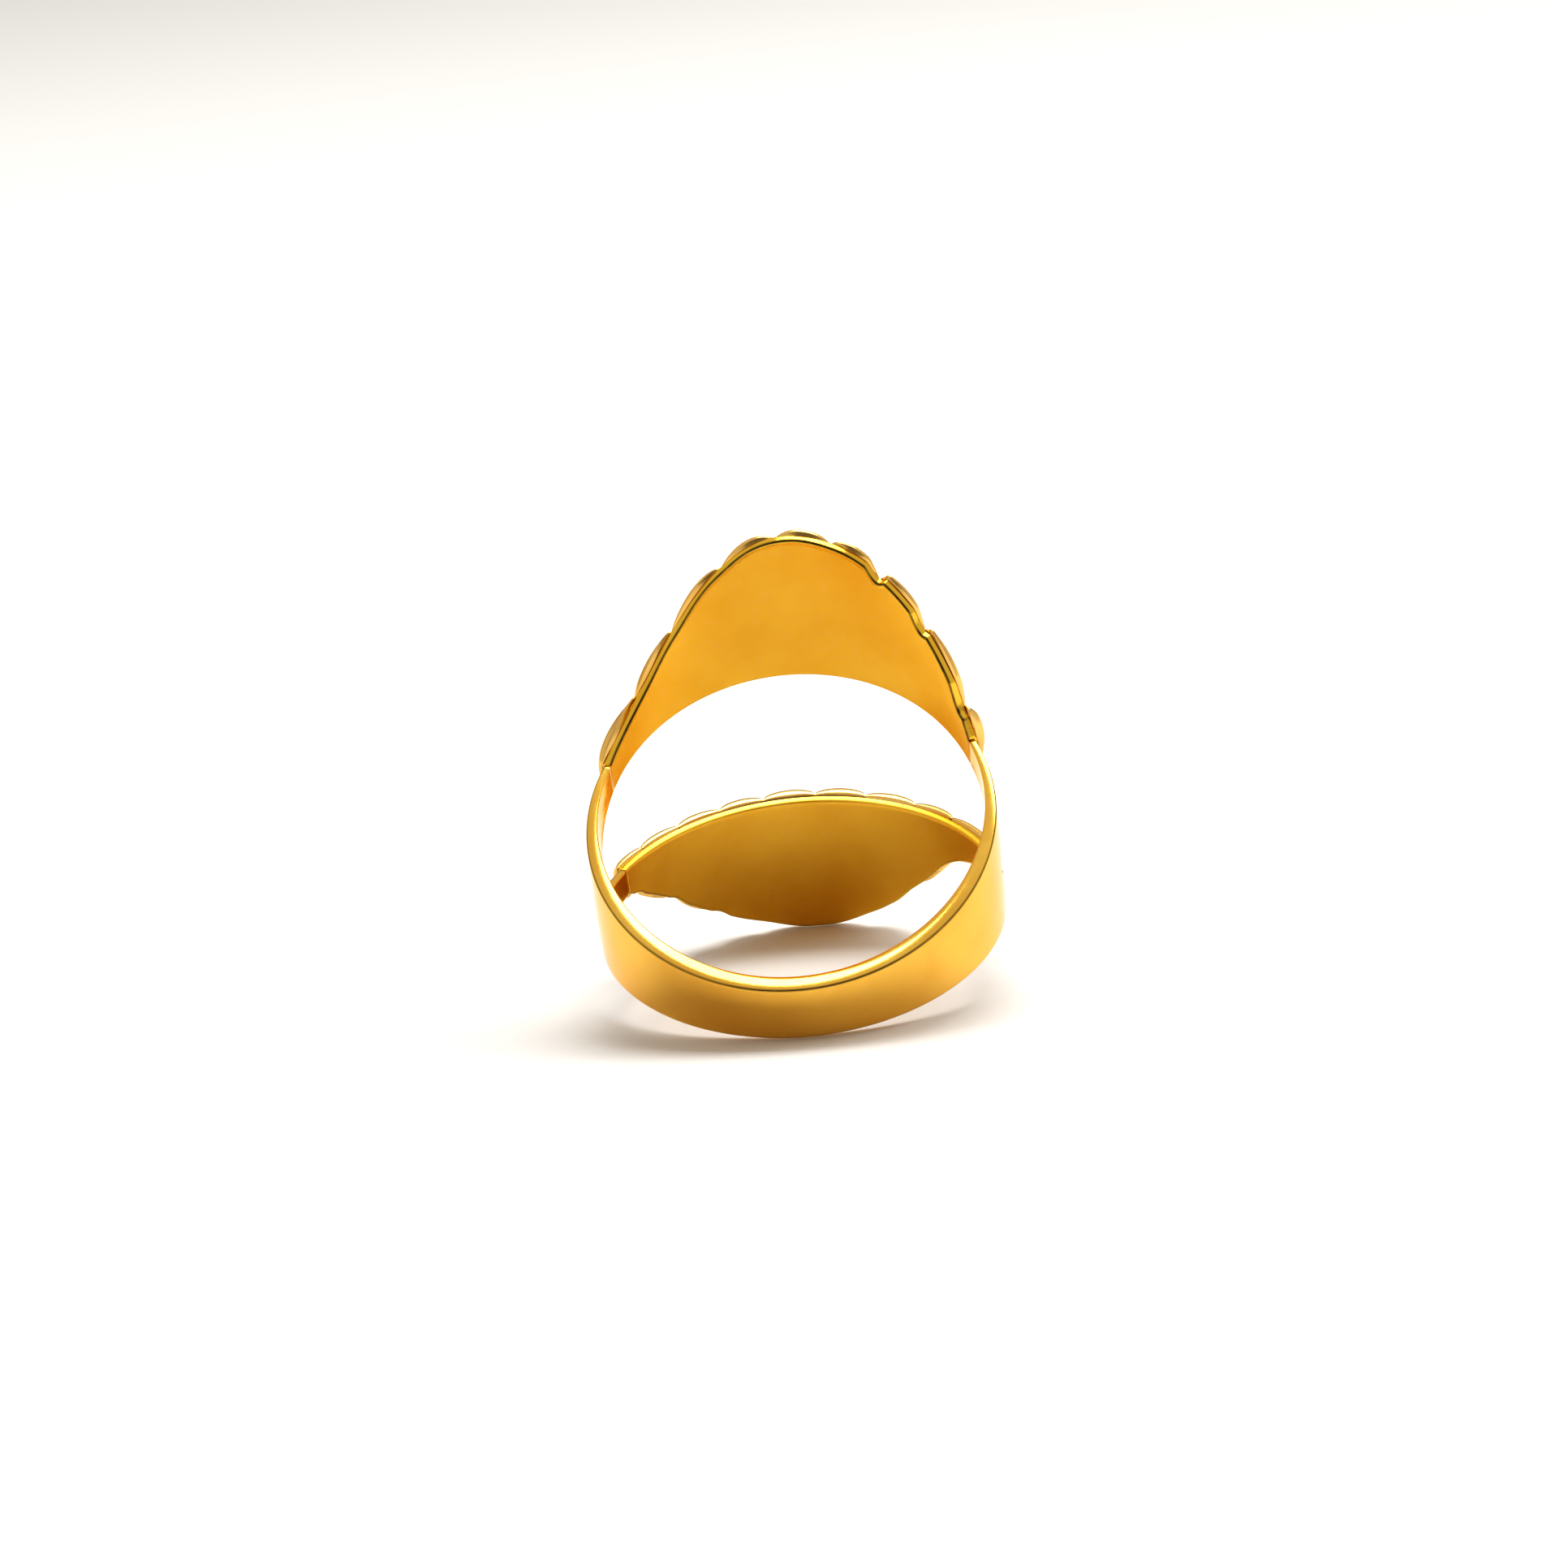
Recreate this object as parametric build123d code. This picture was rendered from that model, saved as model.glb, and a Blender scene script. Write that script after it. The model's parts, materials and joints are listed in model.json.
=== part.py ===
from build123d import *
from math import atan2, cos, degrees, pi, radians, sin
import os

# A gold dress ring lying on a table. A plain forked shank carries an open head of two crescent
# panels, one above and one below an eye-shaped window. Each crescent is a thin lining, bent to
# the finger hole, with a row of domed lobes soldered on its outside.
#
# The ring is modelled round its finger hole: axis along Z, back of the shank at -Y, head at +Y.
# An angle is measured round the hole from +Y, towards +X, in degrees; a height is along the hole.
# At the end the whole ring is tipped onto the table that it rests on, which is the plane Z = 0.

# ---------------------------------------------------------------- driving dimensions, mm, degrees
HOLE_R = 9.0              # finger hole
BACK_WALL = 1.05          # thickness of the shank at the back of the finger
SIDE_WALL = 0.55          # thickness of the shank a quarter turn from there
SHANK_BACK_WIDTH = 3.1    # shank width at the back of the finger
SHOULDER_WIDTH = 8.2      # across both prongs where they meet the crescents
UPPER_FLARE = 0.24        # how early the shank's upper edge starts to rise: less is later
LOWER_FLARE = -0.35       # the same for its lower edge, which is spread later

SEAM_ANGLE = 68.0         # where the prongs end and the crescents begin, each side of the head
WINDOW_ANGLE = 98.0       # where the window runs out into the shank, each side of the head
WINDOW_HEIGHT = 8.0       # window height at the middle of the head
WINDOW_FULLNESS = 0.7     # 1 is a pointed lens, less is rounder at the corners

LINING_WALL = 0.45        # thickness of the crescents' linings
LOBE_RISE = 1.0           # crest of a middle lobe above the lining
LOBE_END_RISE = 0.6       # crest of a lobe next to the shank
WINDOW_DROP = 0.3         # how much lower a lobe's crest is at the window than at its middle
TIP_DROP = 0.55           # the same at the crescent's outer edge
LOBE_FOOT = 0.1           # thickness of the foot that each lobe spreads to its neighbours
GROOVE_RISE = 0.2         # height above the lining at which two lobes meet, at their middle
LOBE_SWIRL = 3.5          # how far round the head a groove runs from the window to the tip
LOBE_FAN = 0.07           # and how much further for each degree away from the middle
# Where the grooves between the lobes start at the window, as shares of the seam angle, set by eye.
GROOVES = (-0.71, -0.5, -0.265, -0.045, 0.175, 0.37, 0.575, 0.795)

# Height of each crescent's outer edge, at even steps from one seam to the other. The lower
# crescent is built like the upper one and then turned over. Three of the grooves nick the edge.
SEAM_HEIGHT = SHOULDER_WIDTH / 2
UPPER_EDGE = (5.5, 8.1, 10.8, 12.2, 11.9, 10.4, 7.8)
LOWER_EDGE = (5.6, 8.6, 11.2, 12.2, 11.3, 9.3, 6.5)
NICKED_GROOVES = (6, 7, 8)
NICK_R = 0.5
UPPER_NICK = 0.6
LOWER_NICK = 0.12

# ---------------------------------------------------------------- worked out from the above
BACK_R = HOLE_R + BACK_WALL
SIDE_R = HOLE_R + SIDE_WALL
SHANK_OFFSET = (BACK_R**2 - SIDE_R**2) / (2 * BACK_R)   # of the shank's outside from the hole
SHANK_R = BACK_R - SHANK_OFFSET
LINING_R = HOLE_R + LINING_WALL
FOOT_R = LINING_R + LOBE_FOOT
GROOVE_R = LINING_R + GROOVE_RISE
CREST_R = LINING_R + LOBE_RISE
BACK_HEIGHT = SHANK_BACK_WIDTH / 2
GROOVE_FEET = [share * SEAM_ANGLE for share in (-1, *GROOVES, 1)]   # the seams close the row
CUT_IN_R = HOLE_R - 1.5       # cutting walls reach from inside the hole
CUT_OUT_R = CREST_R + 1.5     # to outside the lobes
TALL = 40.0                   # taller than the ring
STEP = 4.0                    # spacing of the points along a cut edge
END_SLACK = 0.4               # how far a lobe's rod runs past both of its ends, before trimming
HALVINGS = 30                 # rounds of a search that halves its range each time
WINDOW_STATIONS = 40          # points along each edge of the window, closer towards its corners


def on_ring(radius, angle, height):
    """The point at an angle round the finger hole and a height along it."""
    return Vector(radius * sin(radians(angle)), radius * cos(radians(angle)), height)


def around(start, end):
    """Angles from start to end, about STEP apart."""
    count = max(4, round((end - start) / STEP))
    return [start + (end - start) * i / count for i in range(count + 1)]


def shank_height(angle, flare):
    """Height of one edge of the shank at an angle."""
    far = sin(radians((180 - angle) / 2)) ** 2 / sin(radians((180 - SEAM_ANGLE) / 2)) ** 2
    return BACK_HEIGHT + (SEAM_HEIGHT - BACK_HEIGHT) * (far + flare * far * (1 - far))


def window_height(angle):
    """Half the window's height at an angle."""
    return WINDOW_HEIGHT / 2 * max(0.0, 1 - (angle / WINDOW_ANGLE) ** 2) ** WINDOW_FULLNESS


def edge_curve(inner_heights):
    """The unrolled outer edge of a crescent, as a flat curve of height over angle."""
    heights = (SEAM_HEIGHT, *inner_heights, SEAM_HEIGHT)
    step = 2 * SEAM_ANGLE / (len(heights) - 1)
    return Spline([(-SEAM_ANGLE + step * i, h) for i, h in enumerate(heights)])


def edge_height(curve, angle):
    """Height of an unrolled edge at an angle."""
    low, high = 0.0, 1.0
    for _ in range(HALVINGS):
        middle = (low + high) / 2
        if (curve @ middle).X < angle:
            low = middle
        else:
            high = middle
    return (curve @ low).Y


def wall(points):
    """A ruled wall that stands on a line drawn round the ring, square to the finger hole's axis."""
    inner = Spline([on_ring(CUT_IN_R, a, h) for a, h in points])
    outer = Spline([on_ring(CUT_OUT_R, a, h) for a, h in points])
    return Face.make_surface_from_curves(inner.edge(), outer.edge())


def beyond(points, direction):
    """Everything on one side of a line drawn round the ring: direction is 1 above, -1 below."""
    return Solid.extrude(wall(points), Vector(0, 0, direction * TALL))


def band(inner_r, outer_r, start, end):
    """A stretch of plain tube between two angles."""
    section = Plane.XZ * Pos((inner_r + outer_r) / 2, 0) * Rectangle(outer_r - inner_r, TALL)
    return Rot(0, 0, 90 - end) * revolve(section, Axis.Z, end - start)


def window():
    """The eye-shaped window, as a solid to cut with."""
    count = WINDOW_STATIONS
    stations = [WINDOW_ANGLE * -cos(pi * i / count) for i in range(count + 1)]
    top = [(a, window_height(a)) for a in stations]
    bottom = [(a, -h) for a, h in top]
    return beyond(top, -1) & beyond(bottom, 1)


def shank(opening):
    """The plain band, thickest at the back of the finger and forked at both ends."""
    start, end = SEAM_ANGLE, 360 - SEAM_ANGLE
    angles = around(start - STEP, end + STEP)
    body = band(HOLE_R, CUT_OUT_R, start, end) & Pos(0, -SHANK_OFFSET, 0) * Cylinder(SHANK_R, TALL)
    body -= beyond([(a, shank_height(a, UPPER_FLARE)) for a in angles], 1)
    body -= beyond([(a, -shank_height(a, LOWER_FLARE)) for a in angles], -1)
    return body - opening


def tip_angle(foot):
    """Angle at which a groove or lobe ends at the crescent's outer edge, from where it starts."""
    return foot + LOBE_SWIRL + LOBE_FAN * foot


def groove_plane(index, curve):
    """The plane of a groove, square to the ring's surface: x outward, y along it to the tip.

    The first and the last are the seams with the shank.
    """
    foot = GROOVE_FEET[index]
    height = window_height(foot)
    lean = 0.0
    if abs(foot) < SEAM_ANGLE:
        tip = tip_angle(foot)
        lean = LINING_R * sin(radians(tip - foot)) / (edge_height(curve, tip) - height)
    outward = on_ring(1, foot, 0)
    along = Vector(0, 0, 1) + on_ring(1, foot + 90, 0) * lean
    return Plane(on_ring(LINING_R, foot, height), x_dir=outward, z_dir=outward.cross(along))


def outer_edge(curve):
    """A crescent's outer edge, carried a step past each seam along the prong."""
    past = SEAM_ANGLE + STEP
    inside = [(a, edge_height(curve, a)) for a in around(-SEAM_ANGLE, SEAM_ANGLE)]
    end = shank_height(past, UPPER_FLARE)
    return [(-past, end), *inside, (past, end)]


def nick(angle, height, depth):
    """A round nick in a crescent's outer edge, cut square to the surface."""
    centre = on_ring(CUT_IN_R, angle, height + NICK_R - depth)
    outward = Plane(centre, z_dir=on_ring(1, angle, 0))
    return outward * extrude(Circle(NICK_R), CUT_OUT_R - CUT_IN_R)


def groove_end(plane, curve):
    """Angle and height where a groove runs out over the crescent's outer edge."""
    low, high = 0.0, TALL
    for _ in range(HALVINGS):
        middle = (low + high) / 2
        point = plane.origin + plane.y_dir * middle
        angle = degrees(atan2(point.X, point.Y))
        if point.Z < edge_height(curve, angle):
            low = middle
        else:
            high = middle
    return angle, edge_height(curve, angle)


def trim(blank, curve, grooves, nick_depth):
    """Cut a stretch of tube to a crescent's outline: window edge, outer edge and nicks."""
    past = SEAM_ANGLE + STEP
    blank -= beyond([(a, window_height(a)) for a in around(-past, past)], -1)
    blank -= beyond(outer_edge(curve), 1)
    for index in NICKED_GROOVES:
        angle, height = groove_end(grooves[index], curve)
        blank -= nick(angle, height, nick_depth)
    return blank


def barrel(left, right, curve):
    """A round rod that swells towards its middle, laid on the lining between two grooves."""
    start, end = groove_angle(left), groove_angle(right)
    angle = (start + end) / 2
    half_pitch = radians(end - start) / 2
    rise = LOBE_RISE + (LOBE_END_RISE - LOBE_RISE) * abs(angle / SEAM_ANGLE)
    half_width = GROOVE_R * sin(half_pitch)
    sagitta = LINING_R + rise - GROOVE_R * cos(half_pitch)
    rod_r = (half_width**2 + sagitta**2) / (2 * sagitta)
    foot = window_height(angle)
    along = (left.y_dir + right.y_dir).normalized()
    tip = edge_height(curve, tip_angle(angle))
    reach = (tip - foot) / 2 / along.Z + END_SLACK
    short = min(1.0, reach / rod_r)
    window_r, tip_r = rod_r - WINDOW_DROP * short, rod_r - TIP_DROP * short
    swell = ThreePointArc((-reach, window_r), (0, rod_r), (reach, tip_r))
    sides = Polyline((reach, tip_r), (reach, 0), (-reach, 0), (-reach, window_r))
    middle = on_ring(LINING_R + rise - rod_r, angle, foot) + along * (reach - END_SLACK)
    bed = Plane(middle, x_dir=along, z_dir=on_ring(1, angle, 0))
    return bed * revolve(make_face([swell, sides]), Axis.X)


def groove_angle(plane):
    """Angle at which a groove starts, at the window."""
    return degrees(atan2(plane.origin.X, plane.origin.Y))


def crescent(inner_heights, nick_depth):
    """The lining of one crescent and its lobes, as they lie above the window."""
    curve = edge_curve(inner_heights)
    grooves = [groove_plane(i, curve) for i in range(len(GROOVE_FEET))]
    sheet = band(HOLE_R, LINING_R, -SEAM_ANGLE, SEAM_ANGLE)
    layer = band(LINING_R, FOOT_R, -SEAM_ANGLE, SEAM_ANGLE)
    cover = band(LINING_R, CREST_R + 1, -SEAM_ANGLE, SEAM_ANGLE)
    lining = trim(sheet, curve, grooves, nick_depth)
    foot = trim(layer, curve, grooves, nick_depth)
    blank = trim(cover, curve, grooves, nick_depth)
    lobes = []
    for left, right in zip(grooves, grooves[1:]):
        lobe = foot + (blank & barrel(left, right, curve))
        if left is not grooves[0]:
            lobe = split(lobe, bisect_by=left, keep=Keep.TOP)
        if right is not grooves[-1]:
            lobe = split(lobe, bisect_by=right, keep=Keep.BOTTOM)
        lobes.append(lobe)
    return lining, lobes


def rest_tilt():
    """How far the head drops until the lower crescent meets the table, as the shank's back does."""
    curve = edge_curve(LOWER_EDGE)
    drops = []
    for angle in around(-SEAM_ANGLE, SEAM_ANGLE):
        fall = edge_height(curve, angle) - BACK_HEIGHT
        drops.append(atan2(fall, HOLE_R * cos(radians(angle)) + BACK_R))
    return degrees(max(drops))


# ---------------------------------------------------------------- the pieces
turned_over = Rot(0, 180, 0)
upper_lining, upper_lobes = crescent(UPPER_EDGE, UPPER_NICK)
lower_lining, lower_lobes = crescent(LOWER_EDGE, LOWER_NICK)

pieces = {
    "shank": shank(window()),
    "upper_lining": upper_lining,
    "lower_lining": turned_over * lower_lining,
}
for number, lobe in enumerate(upper_lobes, 1):
    pieces[f"upper_lobe_{number}"] = lobe
for number, lobe in enumerate(lower_lobes, 1):
    pieces[f"lower_lobe_{number}"] = turned_over * lobe

# ---------------------------------------------------------------- laid on the table
tipped = {name: Rot(rest_tilt(), 0, 0) * piece for name, piece in pieces.items()}
box = Compound(list(tipped.values())).bounding_box()
onto_table = Pos(-box.center().X, -box.center().Y, -box.min.Z)

os.makedirs("parts", exist_ok=True)
for name, piece in tipped.items():
    export_step(onto_table * piece, f"parts/{name}.step")
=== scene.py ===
"""A polished gold dress ring lying on a pale table, built round its CAD frame."""

import json
from math import atan2, cos, pi, radians, sin, sqrt

import bmesh
import bpy
from bpy.props import FloatProperty, FloatVectorProperty, IntProperty, PointerProperty
from bpy.types import Operator, Panel, PropertyGroup
from mathutils import Matrix, Vector


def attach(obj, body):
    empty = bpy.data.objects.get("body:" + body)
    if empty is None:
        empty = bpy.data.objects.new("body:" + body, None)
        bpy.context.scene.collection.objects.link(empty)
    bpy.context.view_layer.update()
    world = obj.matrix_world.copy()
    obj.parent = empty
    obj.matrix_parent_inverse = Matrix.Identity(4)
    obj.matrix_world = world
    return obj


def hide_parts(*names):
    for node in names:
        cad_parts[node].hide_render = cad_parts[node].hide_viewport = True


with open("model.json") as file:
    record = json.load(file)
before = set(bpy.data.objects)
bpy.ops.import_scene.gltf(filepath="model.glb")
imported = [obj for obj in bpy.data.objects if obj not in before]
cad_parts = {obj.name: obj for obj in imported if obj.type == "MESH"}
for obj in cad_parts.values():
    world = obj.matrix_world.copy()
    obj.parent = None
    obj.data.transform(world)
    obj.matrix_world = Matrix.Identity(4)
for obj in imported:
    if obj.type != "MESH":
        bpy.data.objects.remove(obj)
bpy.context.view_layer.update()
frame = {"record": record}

bl_info = {
    "name": "Crescent Ring",
    "version": (1, 0, 0),
    "blender": (4, 5, 0),
    "location": "View3D > Sidebar > Ring",
    "description": "Builds a gold ring with two lobed crescents, and the table it lies on",
    "category": "Object",
}

# The finger hole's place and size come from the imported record. The ring is worked out round the
# hole: its axis is Z, the back of the shank is at -Y and the head at +Y. An angle is measured
# round the hole from +Y towards +X, in degrees, and a height is along the hole.
FINGER_HOLE = frame["record"]["mounts"][0]
HOLE_AXIS = Vector(FINGER_HOLE["axis"])
HOLE_RADIUS = FINGER_HOLE["dims"]["r_mm"] / 1000
ON_TABLE = Matrix.Translation(FINGER_HOLE["pos_m"]) @ Matrix.Rotation(
    atan2(-HOLE_AXIS.y, HOLE_AXIS.z), 4, "X"
)
MM = 0.001
LOBES = 9
CORNER_STEPS = 5  # facets round a softened corner


# ------------------------------------------------------------------ sizes and finishes


def size(name, default, description, **more):
    """A length that a user may change. Its default is given in millimetres."""
    return FloatProperty(
        name=name, default=default * MM, description=description, unit="LENGTH", precision=5, **more
    )


def share(name, default, description):
    """A plain number that a user may change."""
    return FloatProperty(name=name, default=default, description=description)


def tint(name, default, description):
    """A colour that a user may change."""
    return FloatVectorProperty(
        name=name, default=default, description=description, subtype="COLOR", size=3, min=0, max=1
    )


class RingShankSizes(PropertyGroup):
    back_wall: size("Back wall", 1.05, "Thickness of the shank at the back of the finger")
    side_wall: size("Side wall", 0.55, "Thickness of the shank a quarter turn from the back")
    back_width: size("Back width", 3.1, "Width of the shank at the back of the finger")
    shoulder_width: size("Shoulder width", 8.2, "Across both prongs where they meet the head")
    upper_flare: share("Upper flare", 0.24, "How early the upper edge starts to rise")
    lower_flare: share("Lower flare", -0.35, "How early the lower edge starts to drop")
    crown: size("Crown", 0.04, "How much lower the edges are than the middle of the outside")
    dome: size("Dome", 0.035, "How much higher the middle of the rim is than its sides")
    corner: size("Corner", 0.14, "Radius that polishing left on the edges")
    stations: IntProperty(name="Stations", default=220, description="Sections round the shank")


class RingHeadSizes(PropertyGroup):
    seam_angle: share("Seam angle", 68.0, "Where the prongs meet the crescents, in degrees")
    window_angle: share("Window angle", 98.0, "Where the window runs out, in degrees")
    window_height: size("Window height", 8.0, "Height of the window at the middle of the head")
    window_fullness: share("Window fullness", 0.7, "1 is a pointed lens, less is rounder")
    lining_wall: size("Lining wall", 0.45, "Thickness of the crescents' linings")
    lining_corner: size("Lining corner", 0.14, "Radius that polishing left on a lining's edges")
    lobe_rise: size("Lobe rise", 1.0, "Crest of a middle lobe above the lining")
    lobe_end_rise: size("End lobe rise", 0.6, "Crest of a lobe next to the shank")
    window_drop: size("Window drop", 0.3, "How much lower a lobe is at the window")
    tip_drop: size("Tip drop", 0.55, "How much lower a lobe is at its tip")
    groove_rise: size("Groove rise", 0.06, "Bottom of a groove above the lining")
    swirl: share("Swirl", 3.5, "Degrees round the head that a groove runs on its way out")
    fan: share("Fan", 0.07, "How much further for each degree from the middle")
    upper_nick: size("Upper nick", 0.42, "Depth of the nicks where grooves cut the upper edge")
    lower_nick: size("Lower nick", 0.12, "Depth of the nicks in the lower edge")
    nick_reach: share("Nick reach", 3.2, "Half a nick's width, in degrees")
    tip_bulge: size("Tip bulge", 0.5, "How much further a lobe's tip runs at its crest")
    end_round: size("End round", 0.45, "Length over which a lobe's ends are rounded")


class RingFinish(PropertyGroup):
    shank_gold: tint("Shank gold", (1.0, 0.575, 0.08), "Reflected colour of the shank")
    lining_gold: tint("Lining gold", (1.0, 0.605, 0.065), "Reflected colour of the linings")
    lobe_gold: tint("Lobe gold", (1.0, 0.64, 0.21), "Reflected colour of the lobes")
    shank_roughness: share("Shank roughness", 0.12, "0 is a mirror")
    lining_roughness: share("Lining roughness", 0.38, "0 is a mirror")
    lobe_roughness: share("Lobe roughness", 0.2, "0 is a mirror")


class RingStage(PropertyGroup):
    lens: FloatProperty(name="Lens", default=147.76, description="Camera lens, in millimetres")
    table_white: tint("Table", (0.745, 0.725, 0.70), "Colour of the table")


# Where the grooves start at the window, as shares of the seam angle, with the seams at the ends.
GROOVES = (-1.0, -0.71, -0.5, -0.265, -0.045, 0.175, 0.37, 0.575, 0.795, 1.0)
# Heights of the outer edges in millimetres, at even steps from seam to seam. The lower crescent is
# built like the upper one and then turned over.
UPPER_EDGE = (5.5, 8.1, 10.8, 12.2, 11.9, 10.4, 7.8)
LOWER_EDGE = (5.6, 8.6, 11.2, 12.2, 11.3, 9.3, 6.5)
NICKED_GROOVES = (6, 7, 8)


# ------------------------------------------------------------------ the ring's rules


def shank_edge(sizes, head, angle, flare):
    """Height of one edge of the shank at an angle."""
    far = sin(radians((180 - angle) / 2)) ** 2 / sin(radians((180 - head.seam_angle) / 2)) ** 2
    low, high = sizes.back_width / 2, sizes.shoulder_width / 2
    return low + (high - low) * (far + flare * far * (1 - far))


def shank_outside(sizes, angle):
    """Radius of the shank's outside, a cylinder set back from the finger hole."""
    back, side = HOLE_RADIUS + sizes.back_wall, HOLE_RADIUS + sizes.side_wall
    offset = (back**2 - side**2) / (2 * back)
    along = -offset * cos(radians(angle))
    return along + sqrt(along**2 - offset**2 + (back - offset) ** 2)


def window_edge(head, angle):
    """Half the window's height at an angle."""
    inside = max(0.0, 1 - (angle / head.window_angle) ** 2)
    return head.window_height / 2 * inside**head.window_fullness


RAIL = (0.0, 0.03, 0.12, 0.25, 0.375, 0.5, 0.625, 0.75, 0.88, 0.97, 1.0)  # along a section's side
FORKED_FROM = 1.2 * MM  # half height of the window past which a prong is crowned on its own

# A section's points run round its low outer, high outer, high inner and low inner corners.
SIDE = len(RAIL) - 2  # points between two corners
CORNER = CORNER_STEPS + 1
HIGH_OUTER = CORNER + SIDE
HIGH_INNER = HIGH_OUTER + CORNER + SIDE
INSIDE = HIGH_INNER + CORNER
DARK_LINE_SHARES = (0.0, 0.6, 1.0, 1.0, 0.6, 0.0)  # how dark the painted dark line is at the points of a corner


def section(radii, heights, low_corner, high_corner, crown=0.0, dome=0.0):
    """A wall's section as (radius, height), anticlockwise, with softened corners.

    It starts at the low edge of the outside and ends at the low edge of the inside, so the closing
    side is the low edge itself. The outside is crowned and the high edge is domed.
    """
    (inner, outer), (low, high) = radii, heights

    def sagging(start, end, sag, middle=None):
        """Places from start to end and how far each lies below the middle."""
        middle = (start + end) / 2 if middle is None else middle
        half = max(abs(end - middle), 1e-9)
        places = [start + (end - start) * t for t in RAIL]
        return [(p, sag * ((p - middle) / half) ** 2) for p in places]

    def corner(radius, height, reach, start):
        """Points a quarter turn round a centre."""
        turn = [start + 90 * i / CORNER_STEPS for i in range(CORNER)]
        return [(radius + reach * cos(radians(a)), height + reach * sin(radians(a))) for a in turn]

    forked = min(1.0, low / FORKED_FROM)
    middle = forked * (low + high) / 2
    side = sagging(low + low_corner, high - dome - high_corner, crown, middle)
    top = sagging(outer - crown - high_corner, inner + high_corner, dome)
    points = corner(outer - side[0][1] - low_corner, low + low_corner, low_corner, -90)
    points += [(outer - drop, z) for z, drop in side[1:-1]]
    points += corner(outer - crown - high_corner, high - dome - high_corner, high_corner, 0)
    points += [(r, high - drop) for r, drop in top[1:-1]]
    points += corner(inner + high_corner, high - dome - high_corner, high_corner, 90)
    points += [(inner, z) for z, _ in reversed(side[1:-1])]
    points += corner(inner + low_corner, low + low_corner, low_corner, 180)
    return points


def at(radius, angle, height):
    """A point at an angle round the finger hole."""
    return Vector((radius * sin(radians(angle)), radius * cos(radians(angle)), height))


# ------------------------------------------------------------------ making meshes


def skin(mesh, rings, open_side=None):
    """Joins sections into a tube. open_side(i) says whether their closing side is left open there."""
    verts = [[mesh.verts.new(p) for p in ring] for ring in rings]
    count = len(rings[0])
    for i, (one, two) in enumerate(zip(verts, verts[1:])):
        for j in range(count):
            if j == count - 1 and open_side and open_side(i):
                continue
            k = (j + 1) % count
            mesh.faces.new((one[j], one[k], two[k], two[j]))
    return verts


def paint_dark_line(rings, layer, corner, most):
    """Marks one corner of every section to be painted dark, so that a thin painted dark line runs along
    it.
    """
    for ring in rings:
        for vert, shade in zip(ring[corner:], DARK_LINE_SHARES):
            vert[layer] = shade * most


def cap(mesh, ring, flip):
    """Closes the end of a skin."""
    mesh.faces.new(ring if flip else ring[::-1])


def merge(mesh):
    """Joins the vertices that lie on each other."""
    bmesh.ops.remove_doubles(mesh, verts=mesh.verts, dist=1e-7)
    bmesh.ops.dissolve_degenerate(mesh, edges=mesh.edges, dist=1e-8)


def finished(name, mesh, turned_over=False):
    """Puts a closed mesh on the table as an object that faces outwards and is shaded smooth."""
    if turned_over:
        mesh.transform(Matrix.Rotation(pi, 4, "Y"))
    mesh.transform(ON_TABLE)
    bmesh.ops.recalc_face_normals(mesh, faces=mesh.faces)
    if mesh.calc_volume(signed=True) < 0:
        bmesh.ops.reverse_faces(mesh, faces=mesh.faces)
    loose = [e for e in mesh.edges if not e.is_manifold]
    if loose:
        raise RuntimeError(f"{name} is not closed: {len(loose)} edges")
    data = bpy.data.meshes.new(name)
    mesh.to_mesh(data)
    mesh.free()
    data.shade_smooth()
    made = bpy.data.objects.new(name, data)
    bpy.context.scene.collection.objects.link(made)
    return made


def hand_over(made, material, nodes):
    """Gives a finished piece its metal and its body, and hides the CAD nodes that it stands for."""
    made.data.materials.clear()
    made.data.materials.append(material)
    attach(made, "root")
    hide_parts(*nodes)


# ------------------------------------------------------------------ nodes written as expressions


class Value:
    """A node socket that can be used in an expression."""

    def __init__(self, nodes, socket):
        self.nodes, self.socket = nodes, socket

    def _math(self, operation, *others):
        return self.nodes.make("ShaderNodeMath", {"operation": operation}, dict(enumerate(others)))

    def __add__(self, other):
        return self._math("ADD", self, other)

    def __radd__(self, other):
        return self._math("ADD", other, self)

    def __sub__(self, other):
        return self._math("SUBTRACT", self, other)

    def __rsub__(self, other):
        return self._math("SUBTRACT", other, self)

    def __mul__(self, other):
        return self._math("MULTIPLY", self, other)

    def __rmul__(self, other):
        return self._math("MULTIPLY", other, self)

    def __truediv__(self, other):
        return self._math("DIVIDE", self, other)

    def __rtruediv__(self, other):
        return self._math("DIVIDE", other, self)

    def __pow__(self, other):
        return self._math("POWER", self, other)

    def __rpow__(self, other):
        return self._math("POWER", other, self)

    def __neg__(self):
        return self._math("MULTIPLY", self, -1.0)

    def __abs__(self):
        return self._math("ABSOLUTE", self)

    def run(self, operation, *others):
        """Any other operation of the Math node."""
        return self._math(operation, self, *others)


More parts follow.
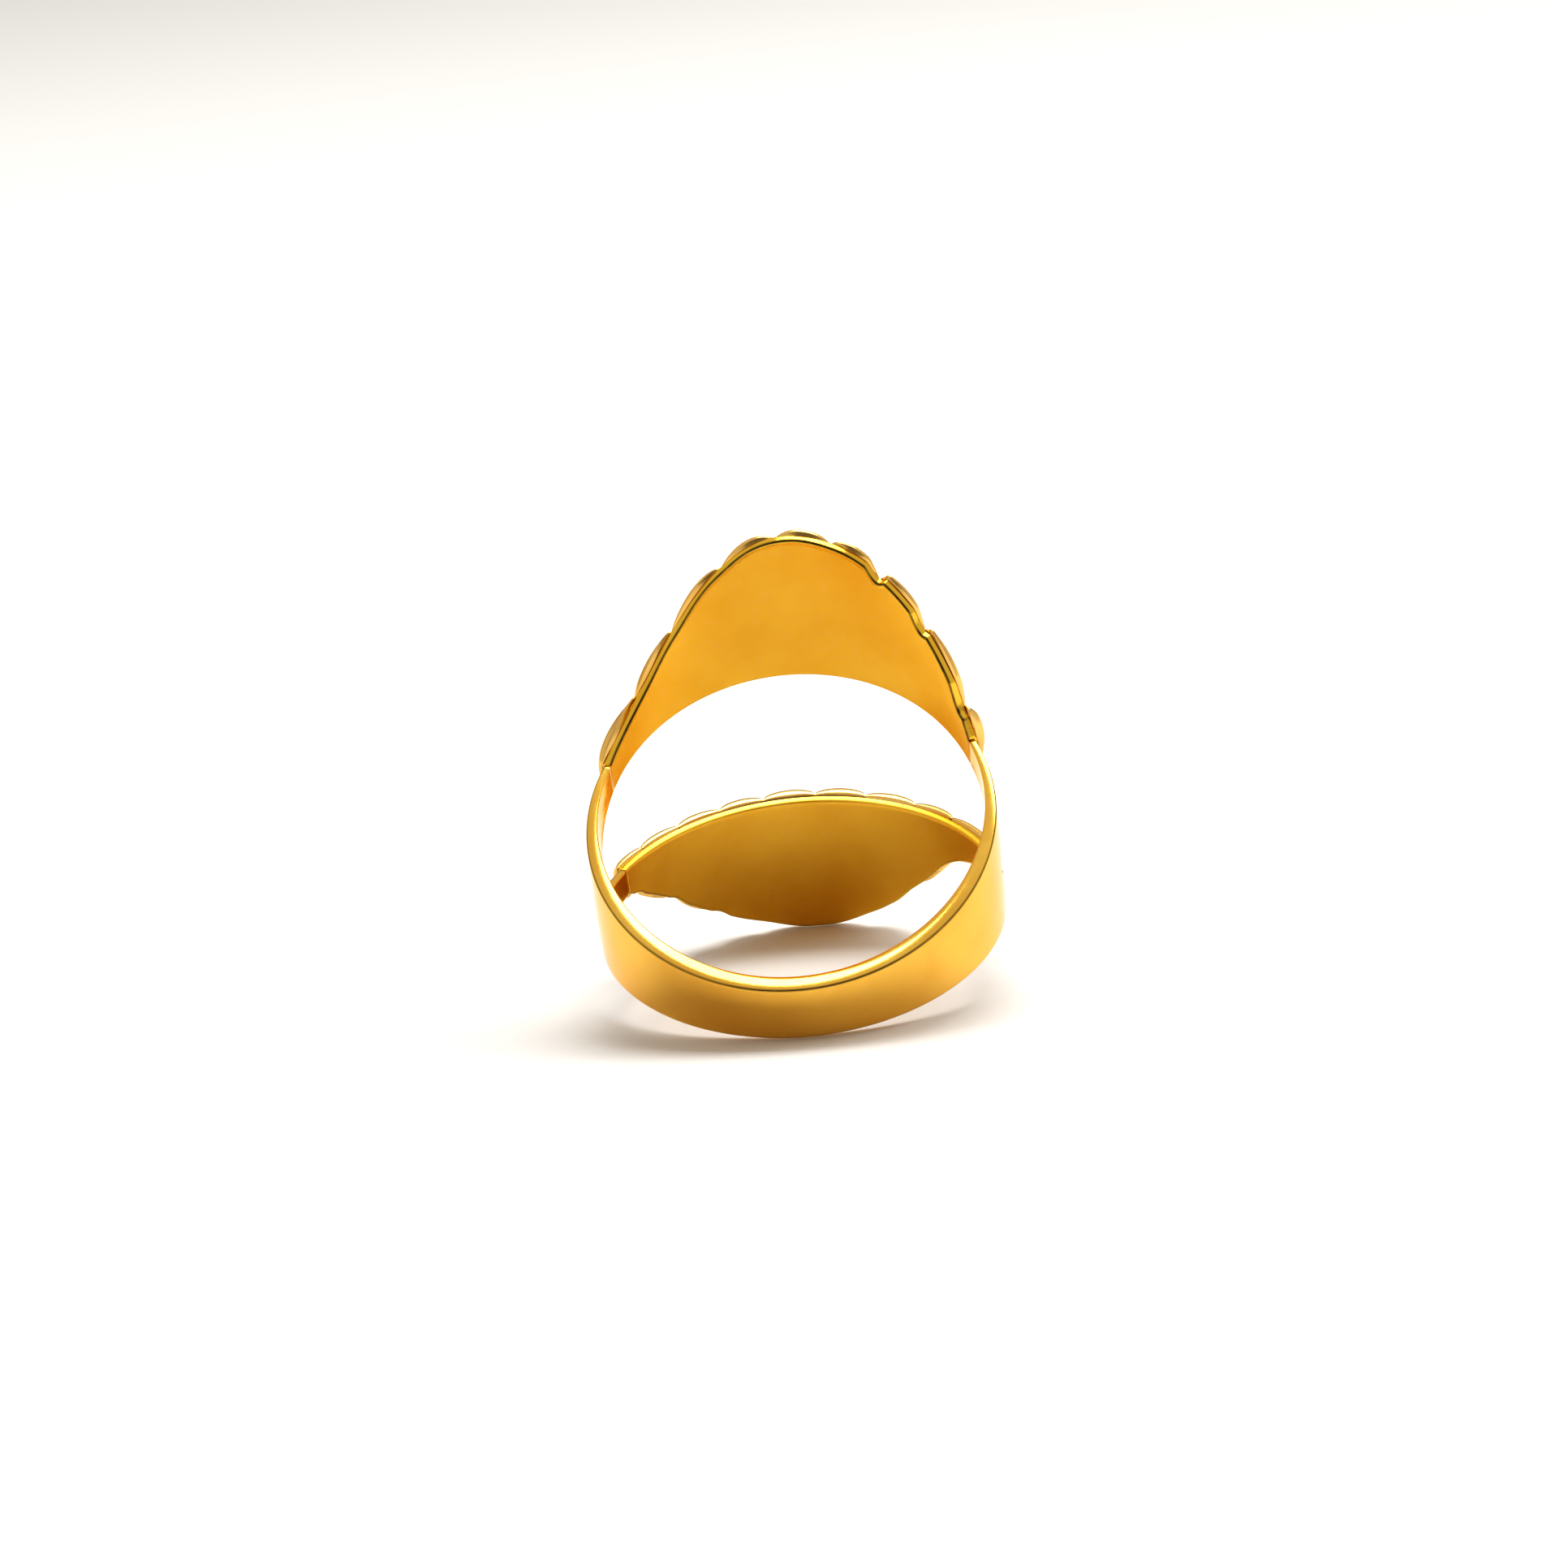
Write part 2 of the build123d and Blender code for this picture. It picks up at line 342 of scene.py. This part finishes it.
class NodeTree:
    """Adds nodes to a tree, from their type, settings and inputs."""

    def __init__(self, tree):
        self.tree = tree

    def make(self, kind, settings=None, inputs=None, output=0):
        """Adds a node and gives back its output, or the node itself where it has none."""
        node = self.tree.nodes.new(kind)
        for name, value in (settings or {}).items():
            if name == "stops":
                ramp = node.color_ramp.elements
                while len(ramp) < len(value):
                    ramp.new(0.5)
                for stop, (position, colour) in zip(ramp, value):
                    stop.position, stop.color = position, (*colour, 1)
            else:
                setattr(node, name, value)
        for name, value in (inputs or {}).items():
            socket = node.inputs[name]
            if isinstance(value, Value):
                self.tree.links.new(value.socket, socket)
            elif socket.type == "RGBA" and len(value) == 3:
                socket.default_value = (*value, 1)
            else:
                socket.default_value = value
        return Value(self, node.outputs[output]) if len(node.outputs) else node

    def mix(self, share_of_second, first, second):
        """Mixes two colours. A colour Mix node's sockets are known by number only."""
        inputs = {0: share_of_second, 6: first, 7: second}
        return self.make("ShaderNodeMix", {"data_type": "RGBA"}, inputs, output=2)


# ------------------------------------------------------------------ gold


WARM_PATCH = (0.88, 0.80, 0.58)  # a patch's colour as a share of the gold's
COOL_PATCH = (1.0, 1.05, 1.14)
DULL_SPOT = (1.0, 0.80, 0.45)
# Colour of the painted dark lines: a painted dark reflection along rounded edges and painted shade in
# the grooves between lobes
PAINTED_DARK = (0.045, 0.035, 0.012)
GRAZING_TINT = (1.0, 0.80, 0.48, 1.0)  # gold stays golden when it is seen at a glancing angle
POLISHED = 0.12  # roughness of a polished edge


def gold(name, colour, roughness, grain, wear, lacquer):
    """Polished gold: warm and cool patches, a soft grain, hairline scratches and duller spots.

    Where a mesh's "polish" is 1 the metal is as bright as a polished edge. Where its dark-line mark
    is 1 the colour is painted dark: a painted dark reflection along rounded edges, and painted shade
    in the grooves between lobes.
    """
    material = bpy.data.materials.new(name)
    material.use_nodes = True
    tree = material.node_tree
    tree.nodes.clear()
    nodes = NodeTree(tree)
    place = nodes.make("ShaderNodeTexCoord", output="Object")

    def noise(scale, detail, where=place):
        return nodes.make("ShaderNodeTexNoise", {}, {"Vector": where, "Scale": scale, "Detail": detail})

    def marked(attribute):
        return nodes.make("ShaderNodeAttribute", {"attribute_name": attribute}, output="Fac")

    patches = noise(190, 3.0)  # some 5 mm across
    mottle = noise(2600, 2.0)  # some 0.4 mm across
    stretched = nodes.make(
        "ShaderNodeMapping", {}, {"Vector": place, "Scale": (1.0, 1.0, 9.0), "Rotation": (0.5, 0, 0)}
    )
    hairlines = noise(3500, 2.0, stretched)
    # The dark-line mark says where the colour is painted dark
    seam, polish = marked("seam"), marked("polish")

    warm = tuple(c * f for c, f in zip(colour, WARM_PATCH))
    cool = tuple(min(1.0, c * f) for c, f in zip(colour, COOL_PATCH))
    patchy = nodes.mix((patches - 0.35) * 2.2, warm, cool)
    worn = nodes.mix((mottle - 0.5) * 0.2, patchy, DULL_SPOT)
    # Painted dark lines, broken up by the mottle: a painted dark reflection along rounded edges and
    # painted shade in the grooves between lobes
    darkened = nodes.mix(seam * (0.7 + mottle * 0.4), worn, PAINTED_DARK)

    dull = roughness + (patches - 0.5) * wear + (mottle - 0.5) * wear * 0.6
    dull = dull + (POLISHED - dull) * polish
    height = mottle * 0.6 + hairlines * 0.4
    bump = nodes.make("ShaderNodeBump", {}, {"Strength": grain, "Distance": 0.02 * MM, "Height": height})
    metal = nodes.make(
        "ShaderNodeBsdfPrincipled",
        {},
        {
            "Base Color": darkened,
            "Metallic": 1.0,
            "Specular Tint": GRAZING_TINT,
            "Roughness": dull.run("MAXIMUM", 0.03),
            # No coat where the colour is painted dark
            "Coat Weight": lacquer * (1.1 - mottle * 0.2) * (1.0 - seam),
            "Coat Roughness": 0.08,
            "Normal": bump,
        },
    )
    nodes.make("ShaderNodeOutputMaterial", {}, {"Surface": metal})
    return material


# ------------------------------------------------------------------ the shank


class RING_OT_shank(Operator):
    """Build the plain forked shank"""

    bl_idname = "ring.shank"
    bl_label = "Shank"

    def execute(self, context):
        sizes, head = context.scene.ring_shank, context.scene.ring_head
        fork, solid = head.window_angle - head.seam_angle, 180 - head.window_angle
        in_fork = max(24, sizes.stations // 6)  # closer together towards the point of the fork
        in_back = sizes.stations - 2 * in_fork
        angles = [head.seam_angle + fork * sin(pi / 2 * i / in_fork) for i in range(in_fork)]
        angles += [head.window_angle + 2 * solid * i / in_back for i in range(in_back + 1)]
        angles += [360 - a for a in angles[in_fork - 1 :: -1]]
        mesh = bmesh.new()
        seam = mesh.verts.layers.float.new("seam")

        def from_head(angle):
            """The angle from the middle of the head, on either side."""
            return min(angle, 360 - angle)

        def solid_back(i):
            """Whether both halves meet between station i and the next one."""
            return min(from_head(angles[i]), from_head(angles[i + 1])) >= head.window_angle - 1e-6

        for side, flare in ((1, sizes.upper_flare), (-1, sizes.lower_flare)):
            rings = [self.ring(sizes, head, angle, from_head(angle), side, flare) for angle in angles]
            skins = skin(mesh, rings, solid_back)
            # Painted reflection: the rounded corner between the rim and the outside is painted dark, as
            # a thin dark line
            paint_dark_line(skins, seam, HIGH_OUTER, 0.75)
            cap(mesh, skins[0], side > 0)
            cap(mesh, skins[-1], side < 0)
        merge(mesh)
        made = finished("Shank", mesh)
        finish = context.scene.ring_finish
        metal = gold(
            "ShankGold", finish.shank_gold, finish.shank_roughness, grain=0.09, wear=0.06, lacquer=0.5
        )
        hand_over(made, metal, ["shank"])
        return {"FINISHED"}

    @staticmethod
    def ring(sizes, head, angle, near, side, flare):
        """Section of the half of the shank on one side of its middle."""
        low = window_edge(head, near)
        edge = shank_edge(sizes, head, near, flare)
        low_corner = min(sizes.corner, low * 0.5, (edge - low) * 0.3)  # small where the fork closes
        outer = shank_outside(sizes, near)
        share_of_wall = (outer - HOLE_RADIUS) / sizes.back_wall
        profile = section(
            (HOLE_RADIUS, outer),
            (low, edge),
            low_corner,
            sizes.corner * share_of_wall,
            sizes.crown,
            sizes.dome * share_of_wall,
        )
        return [at(r, angle, side * z) for r, z in profile]


# ------------------------------------------------------------------ the crescents


LINING_STATIONS = 360
EDGE_TOP = 14 * MM  # the height that a drawn curve's 1 stands for
NICK_POWER = 1.4  # 0.5 is a round bite, more is a softer dip


def edge_points(heights, shoulder):
    """Heights of an outer edge at even steps, seams included."""
    return [shoulder / 2, *[h * MM for h in heights], shoulder / 2]


def outline(head, heights, shoulder, depth):
    """The outer edge through the given heights, with its nicks, as a function of the angle."""
    feet = [GROOVES[i] * head.seam_angle for i in NICKED_GROOVES]
    nicks = [foot + head.swirl + head.fan * foot for foot in feet]
    drawing = bpy.data.node_groups.new("EdgeDrawing", "ShaderNodeTree")
    mapping = drawing.nodes.new("ShaderNodeFloatCurve").mapping
    fill_curve(mapping, [p / EDGE_TOP for p in edge_points(heights, shoulder)])

    def height(angle):
        """Height of the edge at an angle."""
        place = (angle + head.seam_angle) / (2 * head.seam_angle)
        smooth = mapping.evaluate(mapping.curves[0], min(1.0, max(0.0, place))) * EDGE_TOP
        cuts = [max(0.0, 1 - ((angle - nick) / head.nick_reach) ** 2) for nick in nicks]
        return smooth - depth * max(cuts) ** NICK_POWER

    return height


def fill_curve(mapping, points):
    """Draws a smooth curve through points at even steps from 0 to 1."""
    curve = mapping.curves[0]
    while len(curve.points) < len(points):
        curve.points.new(0.5, 0.5)
    for i, value in enumerate(points):
        curve.points[i].location = (i / (len(points) - 1), value)
        curve.points[i].handle_type = "AUTO"
    mapping.update()


class RING_OT_linings(Operator):
    """Build the crescents' linings"""

    bl_idname = "ring.linings"
    bl_label = "Linings"

    def execute(self, context):
        sizes, head = context.scene.ring_shank, context.scene.ring_head
        finish = context.scene.ring_finish
        metal = gold(
            "LiningGold", finish.lining_gold, finish.lining_roughness, grain=0.2, wear=0.1, lacquer=0.05
        )
        for name, heights, over in (("Upper", UPPER_EDGE, False), ("Lower", LOWER_EDGE, True)):
            depth = head.lower_nick if over else head.upper_nick
            edge = outline(head, heights, sizes.shoulder_width, depth)
            steps = range(LINING_STATIONS + 1)
            angles = [head.seam_angle * (2 * i / LINING_STATIONS - 1) for i in steps]
            rings = []
            for angle in angles:
                profile = section(
                    (HOLE_RADIUS, HOLE_RADIUS + head.lining_wall),
                    (window_edge(head, angle), edge(angle)),
                    head.lining_corner,
                    head.lining_corner,
                )
                rings.append([at(r, angle, z) for r, z in profile])
            mesh = bmesh.new()
            mesh.verts.layers.float.new("polish")
            mesh.verts.layers.float.new("seam")
            # A new layer unsettles the older ones, so both are looked up once both are there.
            polish, seam = (mesh.verts.layers.float[mark] for mark in ("polish", "seam"))
            skins = skin(mesh, rings)
            for ring in skins:
                for vert in ring[:INSIDE]:
                    vert[polish] = 1.0
            # Painted reflection: the rounded corner between the high edge and the inside is painted
            # dark, as a thin dark line
            paint_dark_line(skins, seam, HIGH_INNER, 1.0)
            cap(mesh, skins[0], True)
            cap(mesh, skins[-1], False)
            merge(mesh)
            made = finished(f"{name}Lining", mesh, over)
            hand_over(made, metal, [f"{name.lower()}_lining"])
        return {"FINISHED"}


# ------------------------------------------------------------------ the lobes

LOBE_INPUTS = (  # name in the sidebar's group, name on the modifier
    ("seam_angle", "Seam Angle"),
    ("window_angle", "Window Angle"),
    ("window_height", "Window Height"),
    ("window_fullness", "Window Fullness"),
    ("lining_wall", "Lining Wall"),
    ("lobe_rise", "Rise"),
    ("lobe_end_rise", "End Rise"),
    ("window_drop", "Window Drop"),
    ("tip_drop", "Tip Drop"),
    ("groove_rise", "Groove Rise"),
    ("swirl", "Swirl"),
    ("fan", "Fan"),
    ("nick_reach", "Nick Reach"),
    ("tip_bulge", "Tip Bulge"),
    ("end_round", "End Round"),
)
LOBE_FACETS = (33, 65)  # vertices across and along one lobe
DOME_SHARE = 0.94  # the rest of a patch is folded down as the lobe's side and end walls
TIP_SETBACK = 0.75  # how far a tip stands back at a groove, as a share of the bulge
TIP_SPREAD = 0.5  # how much further the tips of the outermost lobes run, as a share of the bulge
TIP_SOFTENING = 0.75
WINDOW_SOFTENING = 0.4
GROOVE_SHADE_POWER = 9.0  # more keeps the painted shade nearer the groove


def numbered_patches(nodes):
    """A flat patch for each lobe, 2 by 2 about the origin, with the lobe's number as an attribute."""
    across, along = LOBE_FACETS
    patch = nodes.make(
        "GeometryNodeMeshGrid",
        {},
        {"Size X": 2.0, "Size Y": 2.0, "Vertices X": across, "Vertices Y": along},
    )
    row = nodes.make("GeometryNodeMeshLine", {"mode": "OFFSET"}, {"Count": LOBES, "Offset": (0, 0, 0)})
    patches = nodes.make("GeometryNodeInstanceOnPoints", {}, {"Points": row, "Instance": patch})
    numbered = nodes.make(
        "GeometryNodeStoreNamedAttribute",
        {"data_type": "INT", "domain": "INSTANCE"},
        {"Geometry": patches, "Name": "lobe", "Value": nodes.make("GeometryNodeInputIndex")},
    )
    return nodes.make("GeometryNodeRealizeInstances", {}, {"Geometry": numbered})


def lobe_tree(name, heights, shoulder):
    """Builds the node tree that lays a row of domed lobes on the outside of a crescent."""
    tree = bpy.data.node_groups.new(name, "GeometryNodeTree")
    for label in (*(label for _, label in LOBE_INPUTS), "Hole Radius", "Nick Depth"):
        tree.interface.new_socket(label, in_out="INPUT", socket_type="NodeSocketFloat")
    tree.interface.new_socket("Metal", in_out="INPUT", socket_type="NodeSocketMaterial")
    tree.interface.new_socket("Geometry", in_out="OUTPUT", socket_type="NodeSocketGeometry")
    nodes = NodeTree(tree)
    given = tree.nodes.new("NodeGroupInput")
    told = {socket.name: Value(nodes, socket) for socket in given.outputs if socket.name}

    grids = numbered_patches(nodes)
    lobe = nodes.make("GeometryNodeInputNamedAttribute", {"data_type": "INT"}, {"Name": "lobe"})
    spot = nodes.make("ShaderNodeSeparateXYZ", {}, {"Vector": nodes.make("GeometryNodeInputPosition")})
    u, v = spot, Value(nodes, spot.socket.node.outputs[1])

    def groove(shift):
        """Angle at which the groove on one side of a lobe starts at the window."""
        shares = nodes.tree.nodes.new("GeometryNodeIndexSwitch")
        shares.data_type = "FLOAT"
        while len(shares.index_switch_items) < LOBES:
            shares.index_switch_items.new()
        tree.links.new(lobe.socket, shares.inputs["Index"])
        for i in range(LOBES):
            shares.inputs[i + 1].default_value = GROOVES[i + shift]
        return Value(nodes, shares.outputs[0]) * told["Seam Angle"]

    def tip(foot):
        """Angle at which a groove ends at the outer edge. The seams stay square."""
        free = (abs(foot) / told["Seam Angle"]).run("LESS_THAN", 0.999)
        return foot + (told["Swirl"] + told["Fan"] * foot) * free

    def window(angle):
        """Half the window's height at an angle."""
        inside = (1.0 - (angle / told["Window Angle"]) ** 2.0).run("MAXIMUM", 0.0)
        return told["Window Height"] / 2.0 * inside ** told["Window Fullness"]

    def edge(angle):
        """Height of the outer edge at an angle, nicks included."""
        curve = nodes.tree.nodes.new("ShaderNodeFloatCurve")
        points = edge_points(heights, shoulder)
        fill_curve(curve.mapping, [p / EDGE_TOP for p in points])
        place = (angle / told["Seam Angle"] + 1.0) / 2.0
        tree.links.new(place.socket, curve.inputs["Value"])
        cut = 0.0
        for i in NICKED_GROOVES:
            foot = told["Seam Angle"] * GROOVES[i]
            off = (angle - foot - told["Swirl"] - told["Fan"] * foot) / told["Nick Reach"]
            cut = (1.0 - off * off).run("MAXIMUM", cut)
        return Value(nodes, curve.outputs[0]) * EDGE_TOP - told["Nick Depth"] * cut**NICK_POWER

    # u and v run from -1 to 1 across and along the lobe, and top_u and top_v do so on its dome.
    # fold is 0 on the dome and 1 at the foot of the walls.
    top_u = (u / DOME_SHARE).run("MAXIMUM", -1.0).run("MINIMUM", 1.0)
    top_v = (v / DOME_SHARE).run("MAXIMUM", -1.0).run("MINIMUM", 1.0)
    fold = (abs(u).run("MAXIMUM", abs(v)) - DOME_SHARE).run("MAXIMUM", 0.0) / (1.0 - DOME_SHARE)
    side, way = (top_u + 1.0) / 2.0, (1.0 + (top_v * (pi / 2.0)).run("SINE")) / 2.0
    left, right = groove(0), groove(1)
    foot = left + (right - left) * side
    end = tip(left) + (tip(right) - tip(left)) * side
    angle = foot + (end - foot) * way
    round_over = (1.0 - top_u * top_u).run("MAXIMUM", 0.0) ** 0.5
    from_middle = abs((left + right) / 2.0) / told["Seam Angle"]
    bulge = told["Tip Bulge"] * (round_over - TIP_SETBACK + from_middle * TIP_SPREAD)
    reach = edge(end) - window(foot) + bulge
    height = window(foot) + reach * way
    crest = told["Rise"] + (told["End Rise"] - told["Rise"]) * from_middle
    swell = way * 2.0 - 1.0
    drop = told["Tip Drop"] * (swell.run("MAXIMUM", 0.0) ** 2.0)
    drop = drop + told["Window Drop"] * ((-swell).run("MAXIMUM", 0.0) ** 2.0)
    near_tip = (1.0 - (1.0 - way) * reach / told["End Round"]).run("MAXIMUM", 0.0)
    near_window = (1.0 - way * reach / told["End Round"]).run("MAXIMUM", 0.0)
    softened = (1.0 - near_tip * near_tip * TIP_SOFTENING) ** 0.5
    softened = softened * (1.0 - near_window * near_window * WINDOW_SOFTENING) ** 0.5
    rise = (told["Groove Rise"] + (crest - drop - told["Groove Rise"]) * round_over) * softened
    radius = told["Hole Radius"] + told["Lining Wall"] + rise * (1.0 - fold)
    turn = angle * (pi / 180.0)
    place = nodes.make(
        "ShaderNodeCombineXYZ",
        {},
        {"X": radius * turn.run("SINE"), "Y": radius * turn.run("COSINE"), "Z": height},
    )
    # Painted shade: the colour is darkened along the grooves between the lobes
    marked = nodes.make(
        "GeometryNodeStoreNamedAttribute",
        {"data_type": "FLOAT", "domain": "POINT"},
        {"Geometry": grids, "Name": "seam", "Value": (u * u) ** GROOVE_SHADE_POWER},
    )
    shaped = nodes.make("GeometryNodeSetPosition", {}, {"Geometry": marked, "Position": place})
    smooth = nodes.make("GeometryNodeSetShadeSmooth", {}, {"Geometry": shaped})
    loose = nodes.make("GeometryNodeRealizeInstances", {}, {"Geometry": smooth})
    metal = nodes.make(
        "GeometryNodeSetMaterial", {}, {"Geometry": loose, "Material": told["Metal"]}
    )
    result = tree.nodes.new("NodeGroupOutput")
    tree.links.new(metal.socket, result.inputs["Geometry"])
    return tree


class RING_OT_lobes(Operator):
    """Build the rows of domed lobes on both crescents"""

    bl_idname = "ring.lobes"
    bl_label = "Lobes"

    def execute(self, context):
        sizes, head = context.scene.ring_shank, context.scene.ring_head
        finish = context.scene.ring_finish
        metal = gold(
            "LobeGold", finish.lobe_gold, finish.lobe_roughness, grain=0.2, wear=0.08, lacquer=0.1
        )
        for name, heights, over in (("Upper", UPPER_EDGE, False), ("Lower", LOWER_EDGE, True)):
            tree = lobe_tree(f"{name}Lobes", heights, sizes.shoulder_width)
            depth = head.lower_nick if over else head.upper_nick
            holder = bpy.data.objects.new("Holder", bpy.data.meshes.new("Holder"))
            context.scene.collection.objects.link(holder)
            row = holder.modifiers.new("Lobes", "NODES")
            row.node_group = tree
            sockets = {s.name: s.identifier for s in tree.interface.items_tree}
            for field, label in LOBE_INPUTS:
                row[sockets[label]] = getattr(head, field)
            row[sockets["Hole Radius"]] = HOLE_RADIUS
            row[sockets["Nick Depth"]] = depth
            row[sockets["Metal"]] = metal
            seen = holder.evaluated_get(context.evaluated_depsgraph_get())
            data = bpy.data.meshes.new_from_object(seen)
            bpy.data.objects.remove(holder)
            mesh = bmesh.new()
            mesh.from_mesh(data)
            rims = [e for e in mesh.edges if e.is_boundary]
            bmesh.ops.edgeloop_fill(mesh, edges=rims)
            made = finished(f"{name}Lobes", mesh, over)
            replaced = [f"{name.lower()}_lobe_{i}" for i in range(1, LOBES + 1)]
            hand_over(made, metal, replaced)
        return {"FINISHED"}


# ------------------------------------------------------------------ the stage


class RING_OT_stage(Operator):
    """Build the table, the lights and the camera"""

    bl_idname = "ring.stage"
    bl_label = "Stage"

    def execute(self, context):
        scene = context.scene
        stage = scene.ring_stage
        lay_table(stage)
        hang_lights(scene)
        place_camera(scene, stage)
        scene.view_settings.view_transform = "Standard"
        scene.view_settings.look = "Medium High Contrast"
        return {"FINISHED"}


TABLE_HALF_WIDTH = 1.2


def lay_table(stage):
    """A wide pale table."""
    mesh = bmesh.new()
    bmesh.ops.create_grid(mesh, x_segments=8, y_segments=8, size=TABLE_HALF_WIDTH)
    data = bpy.data.meshes.new("Table")
    mesh.to_mesh(data)
    mesh.free()
    table = bpy.data.objects.new("Table", data)
    bpy.context.scene.collection.objects.link(table)
    material = bpy.data.materials.new("TableWhite")
    material.use_nodes = True
    tree = material.node_tree
    tree.nodes.clear()
    nodes = NodeTree(tree)
    place = nodes.make("ShaderNodeTexCoord", output="Object")
    grain = nodes.make("ShaderNodeTexNoise", {}, {"Vector": place, "Scale": 900.0, "Detail": 3.0})
    white = tuple(stage.table_white)
    colour = nodes.mix(grain, white, tuple(c * 0.985 for c in white))
    paper = nodes.make("ShaderNodeBsdfPrincipled", {}, {"Base Color": colour, "Roughness": 0.6})
    nodes.make("ShaderNodeOutputMaterial", {}, {"Surface": paper})
    table.data.materials.append(material)


ROOM_AXIS = (0.1, -0.98, 0.14)  # from the far wall to the dark wall behind the camera
WALLS = (  # place along the axis, from 0 to 1, and colour
    (0.0, (0.22, 0.19, 0.15)),
    (0.13, (0.62, 0.61, 0.59)),
    (0.87, (0.60, 0.59, 0.57)),
    (0.95, (0.16, 0.15, 0.14)),
)
LIGHTS = (  # name, place, width, height, power and whether the gold mirrors it
    ("TopBox", (0.08, 0.20, 0.58), 0.40, 0.38, 3.2, True),
    ("RightBox", (0.46, 0.14, 0.34), 0.34, 0.34, 1.2, False),
)


def hang_lights(scene):
    """A white room with softboxes."""
    world = bpy.data.worlds.new("WhiteRoom")
    scene.world = world
    world.use_nodes = True
    tree = world.node_tree
    tree.nodes.clear()
    nodes = NodeTree(tree)
    way = nodes.make("ShaderNodeTexCoord", output="Generated")
    along = nodes.make(
        "ShaderNodeVectorMath",
        {"operation": "DOT_PRODUCT"},
        {0: way, 1: Vector(ROOM_AXIS).normalized()},
        output="Value",
    )
    walls = nodes.make("ShaderNodeValToRGB", {"stops": WALLS}, {0: along * 0.5 + 0.5})
    air = nodes.make("ShaderNodeBackground", {}, {"Color": walls, "Strength": 1.0})
    nodes.make("ShaderNodeOutputWorld", {}, {"Surface": air})
    for name, place, width, height, power, mirrored in LIGHTS:
        light = bpy.data.lights.new(name, "AREA")
        light.shape, light.size, light.size_y, light.energy = "RECTANGLE", width, height, power
        lamp = bpy.data.objects.new(name, light)
        lamp.location = place
        lamp.rotation_euler = (-Vector(place)).to_track_quat("-Z", "Y").to_euler()
        lamp.visible_glossy = mirrored
        scene.collection.objects.link(lamp)


CAMERA_AIM = (-0.000356, -0.001692, 0.010063)
CAMERA_DISTANCE = 0.30005
CAMERA_AZIMUTH = radians(3.45)
CAMERA_ELEVATION = radians(12.16)
CAMERA_ROLL = radians(4.79)
SENSOR_WIDTH = 36.0  # millimetres


def place_camera(scene, stage):
    """A long lens, a little above the table and behind the shank."""
    camera = bpy.data.cameras.new("Camera")
    camera.lens, camera.sensor_width = stage.lens, SENSOR_WIDTH
    camera.clip_start, camera.clip_end = 0.01, 10.0
    level = cos(CAMERA_ELEVATION)
    back = Vector((sin(CAMERA_AZIMUTH) * level, -cos(CAMERA_AZIMUTH) * level, sin(CAMERA_ELEVATION)))
    turn = (-back).to_track_quat("-Z", "Y").to_matrix() @ Matrix.Rotation(-CAMERA_ROLL, 3, "Z")
    holder = bpy.data.objects.new("Camera", camera)
    place = Vector(CAMERA_AIM) + back * CAMERA_DISTANCE
    holder.matrix_world = Matrix.Translation(place) @ turn.to_4x4()
    scene.collection.objects.link(holder)
    scene.camera = holder


# ------------------------------------------------------------------ the sidebar


class RING_PT_pieces(Panel):
    """Lists the ring's pieces"""

    bl_idname = "RING_PT_pieces"
    bl_label = "Crescent Ring"
    bl_space_type = "VIEW_3D"
    bl_region_type = "UI"
    bl_category = "Ring"

    def draw(self, context):
        for operator in OPERATORS:
            self.layout.operator(operator.bl_idname)
        for name in GROUPS:
            box = self.layout.box()
            box.label(text=name.replace("_", " ").capitalize())
            group = getattr(context.scene, name)
            for field in group.bl_rna.properties.keys():
                if field not in ("rna_type", "name"):
                    box.prop(group, field)


OPERATORS = (RING_OT_shank, RING_OT_linings, RING_OT_lobes, RING_OT_stage)
GROUPS = {
    "ring_shank": RingShankSizes,
    "ring_head": RingHeadSizes,
    "ring_finish": RingFinish,
    "ring_stage": RingStage,
}


def register():
    for made in (*GROUPS.values(), *OPERATORS, RING_PT_pieces):
        bpy.utils.register_class(made)
    for name, group in GROUPS.items():
        setattr(bpy.types.Scene, name, PointerProperty(type=group))


def unregister():
    for name in GROUPS:
        delattr(bpy.types.Scene, name)
    for made in (RING_PT_pieces, *reversed(OPERATORS), *reversed(GROUPS.values())):
        bpy.utils.unregister_class(made)


def main():
    """Registers the add-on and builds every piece."""
    register()
    bpy.ops.ring.shank()
    bpy.ops.ring.linings()
    bpy.ops.ring.lobes()
    bpy.ops.ring.stage()


if __name__ == "__main__":
    main()
